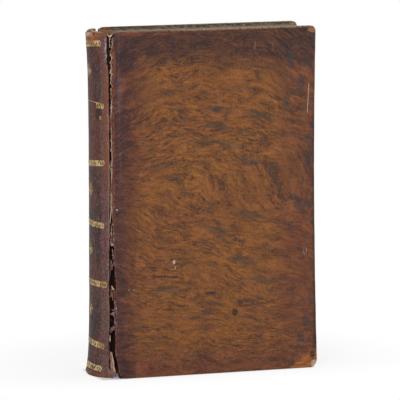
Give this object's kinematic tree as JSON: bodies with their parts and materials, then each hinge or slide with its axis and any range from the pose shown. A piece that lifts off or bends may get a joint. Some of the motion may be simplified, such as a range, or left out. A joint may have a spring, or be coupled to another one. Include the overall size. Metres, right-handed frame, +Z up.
{
  "type": "leather bound book",
  "caption": "Antique leather bound book standing closed, with a rounded gilt-tooled spine, stained calf boards and a cracked front joint. Both covers open.",
  "frame": {"origin": "middle of the bounding box at the tail edges that the book stands on", "axes": "+Z up, from tail to head; front cover faces -Y; spine at -X and fore-edge at +X"},
  "size_m": [0.1445, 0.0412, 0.215],
  "materials": {
    "cover_leather": "stained calf, polished and worn",
    "spine_leather": "dark stained calf, rubbed",
    "torn_leather": "bare flesh side, torn",
    "label": "remnant of a goatskin label",
    "gold_leaf": "gold leaf, rubbed",
    "millboard": "rope-fibre millboard",
    "leaves": "edges of laid paper, browned and dusty",
    "endpaper": "laid paper, browned at its edges",
    "spine_lining": "waste paper, pasted",
    "sewing_cord": "hemp",
    "endband": "worked silk, faded"
  },
  "bodies": {
    "text": {"text_block": "leaves", "front_free_endpaper": "endpaper", "rear_free_endpaper": "endpaper", "head_endband": "endband", "tail_endband": "endband", "sewing_cord_1": "sewing_cord", "sewing_cord_2": "sewing_cord", "sewing_cord_3": "sewing_cord", "sewing_cord_4": "sewing_cord", "sewing_cord_5": "sewing_cord", "spine_lining": "spine_lining", "spine_leather": "spine_leather", "label_remnant": "label", "torn_joint_leather": "torn_leather", "gilt_roll_1": "gold_leaf", "gilt_roll_2": "gold_leaf", "gilt_roll_3": "gold_leaf", "gilt_roll_4": "gold_leaf", "gilt_roll_5": "gold_leaf", "gilt_roll_6": "gold_leaf", "gilt_roll_7": "gold_leaf", "gilt_device_1": "gold_leaf", "gilt_device_2": "gold_leaf", "gilt_device_3": "gold_leaf", "gilt_device_4": "gold_leaf"},
    "front_cover": {"front_board": "millboard", "front_leather": "cover_leather", "front_pastedown": "endpaper", "front_cord_slips": "sewing_cord"},
    "rear_cover": {"rear_board": "millboard", "rear_leather": "cover_leather", "rear_pastedown": "endpaper", "rear_cord_slips": "sewing_cord"}
  },
  "joints": [
    {"name": "front_cover_hinge", "type": "hinge", "parent": "text", "child": "front_cover", "pos_m": [-0.06255, -0.02061, 0.00008], "axis": [0, -0.0227, -0.9997], "range_deg": [0, 180]},
    {"name": "rear_cover_hinge", "type": "hinge", "parent": "text", "child": "rear_cover", "pos_m": [-0.06255, 0.02061, 0], "axis": [0, 0, 1], "range_deg": [0, 180]}
  ]
}
